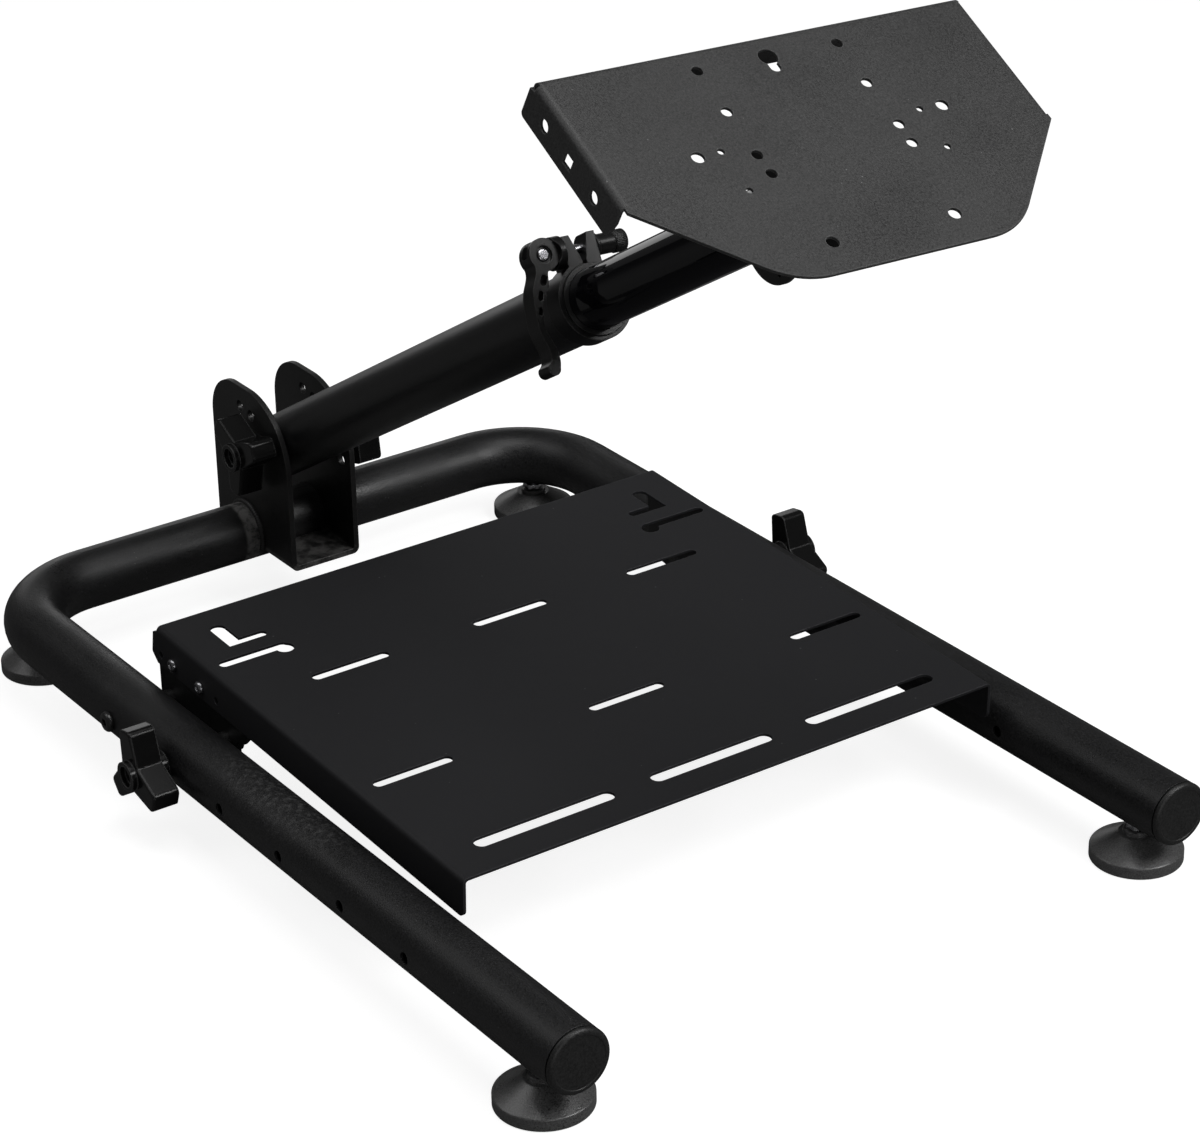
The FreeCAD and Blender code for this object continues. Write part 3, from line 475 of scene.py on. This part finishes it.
# the strong paler edges here are painted highlight along the knob's rims
KNOB_PLASTIC = surface("knob_plastic", (0.0065, 0.0065, 0.0065), 0.18, grain=700, speckle=0.1,
                       cloud=0.2, gloss=0.06, skin=0.03, specular=0.30, edge=0.0016, edge_highlight_and_wear=18.0)[0]
CAP_PLASTIC = surface("cap_plastic", (0.012, 0.012, 0.012), 0.46, grain=900, speckle=3.6,
                      cloud=0.3, gloss=0.2, skin=0.5)[0]
BUSHING_PLASTIC = surface("bushing_plastic", (0.010, 0.010, 0.010), 0.32, grain=1200,
                          speckle=0.1)[0]
FOOT_RUBBER = surface("foot_rubber", (0.088, 0.088, 0.088), 0.36, grain=1150, speckle=3.0,
                      cloud=0.4, gloss=0.3, skin=0.6, specular=1.0, edge=0.001)[0]
BLACK_STEEL = surface("blackened_steel", (0.075, 0.075, 0.075), 0.28, grain=1800, speckle=0.3,
                      metallic=0.8)[0]
ZINC = surface("zinc_plate", (0.46, 0.46, 0.48), 0.24, speckle=0.1, cloud=0.2, skin=0.05,
               metallic=1.0)[0]
WELD = surface("painted_weld", (0.022, 0.022, 0.022), 0.42, grain=500, speckle=0.8, skin=0.5,
               height=0.0004)[0]


def dress_nodes():
    """Gives every CAD node its finish; a later row wins over an earlier one."""
    def names(word):
        return [n for n in NODES if word in n]

    brackets = ["post_bracket", "pedal_bracket_left", "pedal_bracket_right", "wheel_bracket"]
    finishes = (
        (BLACK_STEEL, names("bolt") + names("spacer") + ["post_nut"]),
        (TUBE_PAINT, ["base_frame"]),
        (BRACKET_PAINT, brackets),
        (POST_PAINT, ["post_tube"]),
        (PLATE_SAND, ["wheel_plate"]),
        (DECK_MATT, ["pedal_plate"]),
        (INNER_GLOSS, ["inner_tube"]),
        (ANODISED, ["clamp_collar", "clamp_lever", "clamp_nut", "clamp_washer"]),
        (BUSHING_PLASTIC, ["post_bushing"]),
        (KNOB_PLASTIC, names("knob")),
        (CAP_PLASTIC, names("cap")),
        (FOOT_RUBBER, [n for n in names("foot_") if "stud" not in n]),
        (ZINC, ["lever_pin", "clamp_bolt"] + names("stud")))
    for finish, chosen in finishes:
        for n in chosen:
            for s in NODES[n].material_slots:
                s.material = finish


# ---- how a new piece is made ----

def build(name, rings, mat, body, place=None, crease=35.0):
    """Mesh from rings of points, an array of rings x around x 3. Each ring is closed; the rings
    climb and run anticlockwise seen from where they climb to, so faces point outward. The mean
    point of the first and of the last ring closes that end with a fan."""
    n, k = rings.shape[:2]
    index = np.arange(n * k).reshape(n, k)
    after = np.roll(index, -1, axis=1)
    sides = np.stack([index[:-1], after[:-1], after[1:], index[1:]], axis=-1).reshape(-1, 4)
    points = np.concatenate([rings.reshape(-1, 3), rings[0].mean(0)[None], rings[-1].mean(0)[None]])
    first = np.stack([np.full(k, n * k), after[0], index[0]], axis=-1)
    last = np.stack([np.full(k, n * k + 1), index[-1], after[-1]], axis=-1)
    if place is not None:
        points = points @ place[:3, :3].T + place[:3, 3]
    me = bpy.data.meshes.new(name)
    me.from_pydata(points.tolist(), [], sides.tolist() + first.tolist() + last.tolist())
    me.shade_smooth()
    me.set_sharp_from_angle(angle=radians(crease))
    me.materials.append(mat)
    o = bpy.data.objects.new(name, me)
    SCENE.collection.objects.link(o)
    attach(o, body)
    return o


def around_z(r, z, a):
    """Points at radius r, height z and angle a about Z, as whole arrays."""
    return np.stack([r * np.cos(a), r * np.sin(a), np.broadcast_to(z, r.shape)], axis=-1)


def full_turn(steps):
    """Evenly spaced angles once round, the first not repeated."""
    return np.arange(steps) * 2 * pi / steps


def turned(profile, around=48):
    """Rings of a turned piece about Z. Each profile row is radius, height and hexagon: where
    hexagon is 1 the radius is that of a hexagon's flats, and 0 leaves the ring round. On a
    hexagon the radius is the flats' over the cosine of the angle from the nearest flat."""
    p = np.array(profile, float)
    a = full_turn(around)
    flats = 1.0 / np.cos((a + pi / 6) % (pi / 3) - pi / 6)
    r = p[:, :1] * (1 - p[:, 2:3] + p[:, 2:3] * flats[None, :])
    return around_z(r, p[:, 1:2], a)


def socket_head(r, h, key):
    """Profile of a button head that stands on z = 0: a short upright rim, a quarter of an ellipse,
    then a hexagon socket whose flats are key from the axis."""
    foot, foot_height, rim_height, flat_top = 0.96, 0.1, 0.3, 0.62
    mouth, chamfer, socket_floor, floor_dip = 1.12, 0.0003, 0.25, 0.2
    t = np.linspace(0, pi / 2, 7)
    dome = [(r * (flat_top + (1 - flat_top) * cos(v)),
             h * (rim_height + (1 - rim_height) * sin(v)), 0) for v in t]
    return ([(r * foot, 0, 0), (r, h * foot_height, 0)] + dome
            + [(key * mouth, h, 1), (key, h - chamfer, 1), (key, h * socket_floor, 1),
               (key / 2, h * floor_dip, 0)])


# ---- the pieces ----

def screws():
    """Button screws through the deck's flanges into the pedal brackets."""
    radius, height, key = 0.0046, 0.0026, 0.0017
    under_deck, ahead_of_edge = 0.0193, (0.0212, 0.0566)
    for side, name, outward in SIDES:
        for i, ahead in enumerate(ahead_of_edge):
            place = DECK_PLACE @ shift(side * DECK_SIDE, -ahead, -under_deck) @ outward
            build("deck_screw_%s_%d" % (name, i + 1), turned(socket_head(radius, height, key)),
                  ZINC, "pedal_deck", place)


def pivot_bolts():
    """Bolts through the legs, turned in one piece: threaded end, hexagon nut, shank and head."""
    shank, head_r, head, key = 0.004, 0.007, 0.004, 0.0025
    nut_round, nut_flats, nut, chamfer = 0.0058, 0.0062, 0.006, 0.0006
    thread_past_nut, thread_tip = 0.003, 0.8
    for side, name, outward in SIDES:
        node = "pedal_pivot_bolt_" + name
        lo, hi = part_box(node)
        inner, outer = (lo[0], hi[0]) if side > 0 else (-hi[0], -lo[0])
        z_nut, z_head = inner + thread_past_nut, outer - head
        profile = [(shank * thread_tip, inner, 0), (shank, inner + chamfer, 0), (shank, z_nut, 0),
                   (nut_round, z_nut, 0), (nut_flats, z_nut + chamfer, 1),
                   (nut_flats, z_nut + nut - chamfer, 1), (nut_round, z_nut + nut, 0),
                   (shank, z_nut + nut, 0), (shank, z_head, 0)]
        profile += [(r, z + z_head, h) for r, z, h in socket_head(head_r, head, key)]
        place = shift(0, REAR_LEG_HOLE_Y, BAR_Z) @ outward
        o = build(node + "_detail", turned(profile), BLACK_STEEL, "base", place)
        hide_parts(node)


def end_caps():
    """Caps that close the legs: a plug inside the tube, a seam groove, a rim rounded by a quarter
    circle and a face sunk a little inside the rim."""
    seam, rim, sink, proud = 0.0007, 0.0030, 0.0004, 0.0001
    plug_wall, plug_length, groove_foot, groove_top = 0.004, 0.002, 0.0012, 0.0010
    lip_inside, face_inside, centre = 0.0008, 0.0012, 0.003
    r = TUBE_R + proud
    t = np.linspace(0, pi / 2, 9)
    for side in ("left", "right"):
        node = "leg_cap_" + side
        lo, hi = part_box(node)
        front = LEG_END_Y - lo[1]
        profile = [(r - plug_wall, -plug_length, 0), (r - groove_foot, 0.0, 0),
                   (r - groove_top, seam, 0)]
        profile += [(r - rim * (1 - cos(v)), front - rim * (1 - sin(v)), 0) for v in t]
        profile += [(r - rim - lip_inside, front, 0), (r - rim - face_inside, front - sink, 0),
                    (centre, front - sink, 0)]
        place = shift((lo[0] + hi[0]) / 2, LEG_END_Y, BAR_Z) @ turn_x(90)
        o = build(node + "_detail", turned(profile, around=72), CAP_PLASTIC, "base",
                  place)
        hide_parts(node)


def knurled_nut():
    """Clamp nut: flange, neck and a grip from whose radius a cosine of the turn takes up to the
    knurls' depth, for straight knurls."""
    flange, neck, grip = (0.0080, 0.0022), (0.0066, 0.0120), (0.0072, 0.0085)
    around, ridges, depth, edge = 264, 44, 0.00035, 0.0004
    dish_outer, dish_inner, dish, bore = 0.0052, 0.0048, 0.0006, 0.0012
    rows, z = [], 0.0
    for (r, length), knurled in ((flange, 0.0), (neck, 0.0), (grip, 1.0)):
        rows += [(r - edge, z, 0.0), (r, z + edge, knurled), (r, z + length - edge, knurled),
                 (r - edge, z + length, 0.0)]
        z += length
    rows += [(dish_outer, z, 0.0), (dish_inner, z - dish, 0.0), (bore, z - dish, 0.0)]
    p = np.array(rows)
    a = full_turn(around)
    r = p[:, :1] - p[:, 2:3] * depth * (0.5 + 0.5 * np.cos(a * ridges))
    place = CLAMP_PLACE @ shift(CLAMP_EAR_X, CLAMP_BOLT_UP, CLAMP_BOLT_ALONG) @ TO_RIGHT
    o = build("clamp_nut_knurled", around_z(r, p[:, 1:2], a), ANODISED, "post",
              place)
    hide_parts("clamp_nut")


def threaded_studs():
    """Foot studs: the radius follows a triangle wave of height over pitch less the turn, one
    thread start, that fades at both ends. Each has a hexagon nut under the tube."""
    pitch, depth, around, rings_up = 0.00125, 0.00045, 40, 110
    flats, chamfer, clear, gap = 0.0065, 0.0007, 0.0002, 0.0004
    nut_round = flats * 0.94
    for node in sorted(n for n in NODES if n.startswith("foot_stud_")):
        lo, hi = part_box(node)
        x, y, r0 = (lo[0] + hi[0]) / 2, (lo[1] + hi[1]) / 2, (hi[0] - lo[0]) / 2
        z = np.linspace(lo[2], hi[2], rings_up)[:, None]
        a = full_turn(around)[None, :]
        wave = np.abs(((z - lo[2]) / pitch - a / (2 * pi)) % 1.0 * 2 - 1)
        fade = np.clip(np.minimum(z - lo[2], hi[2] - z) / pitch, 0, 1)
        r = r0 - depth * (wave * fade + (1 - fade))
        o = build(node + "_thread", around_z(r, z, a), ZINC, "base", shift(x, y, 0))
        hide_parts(node)
        low, high = lo[2] + clear, BAR_Z - TUBE_R - clear
        nut = [(r0 + gap, low, 0), (nut_round, low, 0), (flats, low + chamfer, 1),
               (flats, high - chamfer, 1), (nut_round, high, 0), (r0 + gap, high, 0)]
        build(node.replace("stud", "nut"), turned(nut), ZINC, "base", shift(x, y, 0))


def weld_bead(name, x, out):
    """Bead round the crossbar at an ear: a thin ring along an arc whose thickness rises and
    falls with the sine of the turn, for ripples, and fades to nothing at the two ends."""
    arc, rings_along, around = (radians(-30), radians(210)), 220, 12
    thickness, flatter, fade_rate, least = 0.0024, 0.9, 9.0, 0.05
    ripples, ripple_depth, swells, swell_depth, start = 38.0, 0.16, 7.0, 0.08, x * 900.0
    turn = np.linspace(*arc, rings_along)[:, None]
    about = full_turn(around)[None, :]
    ripple = (1.0 + ripple_depth * np.abs(np.sin(turn * ripples))
              + swell_depth * np.sin(turn * swells + start))
    fade = np.clip(np.minimum(turn - turn[0], turn[-1] - turn) * fade_rate, least, 1.0)
    r = thickness * ripple * fade
    ring = TUBE_R + r * np.cos(about)
    along = x + out * flatter * r * np.sin(about)
    rings = np.stack([along, BAR_Y - ring * np.cos(turn), BAR_Z + ring * np.sin(turn)], axis=-1)
    if out > 0:
        rings = rings[:, ::-1]
    build(name, rings, WELD, "base", crease=80.0)


def stitch(name, start, end, r, body, lead):
    """Straight fillet weld from start to end: rings across the line whose radius ripples with
    the sine of the length and fades with the square root of the distance from an end."""
    ripple_length, ripple_depth, fade_length, least = 0.0022, 0.18, 0.003, 0.02
    rings_along, around = 70, 10
    a, b = np.array(start, float), np.array(end, float)
    length = np.linalg.norm(b - a)
    line = (b - a) / length
    across = np.cross(line, (0.0, 0.0, 1.0))
    across /= np.linalg.norm(across)
    up = np.cross(across, line)
    t = np.linspace(0, 1, rings_along)[:, None, None]
    about = full_turn(around)[None, :, None]
    ripple = 1.0 + ripple_depth * np.abs(np.sin(t * length / ripple_length * pi / 2 + lead))
    fade = np.sqrt(np.clip(np.minimum(t, 1 - t) * length / fade_length, least, 1.0))
    rings = (a + line * length * t
             + r * ripple * fade * (np.cos(about) * across - np.sin(about) * up))
    build(name, rings, WELD, body, crease=80.0)


def welds():
    """Beads by the post bracket's ears, and along both sides of the wheel bracket where it meets
    the plate's underside."""
    bead_gap, beside, under, radius = 0.0006, 0.0240, 0.0026, 0.0016
    runs = ((0.042, 0.062), (0.100, 0.120))
    for side, name, _ in SIDES:
        weld_bead("weld_" + name, side * (EAR_FACE + bead_gap), side)
    for side, name, _ in SIDES:
        for i, run in enumerate(runs):
            start, end = (PLATE_PLACE @ np.array([side * beside, -v, -under, 1.0]) for v in run)
            stitch("bracket_weld_%s_%d" % (name, i + 1), start[:3], end[:3], radius,
                   "wheel_plate", i + side)


camera()
studio()
floor()
for lamp in LAMPS:
    softbox(*lamp)
dress_nodes()
welds()
screws()
pivot_bolts()
end_caps()
knurled_nut()
threaded_studs()
SCENE.view_settings.view_transform = "Standard"
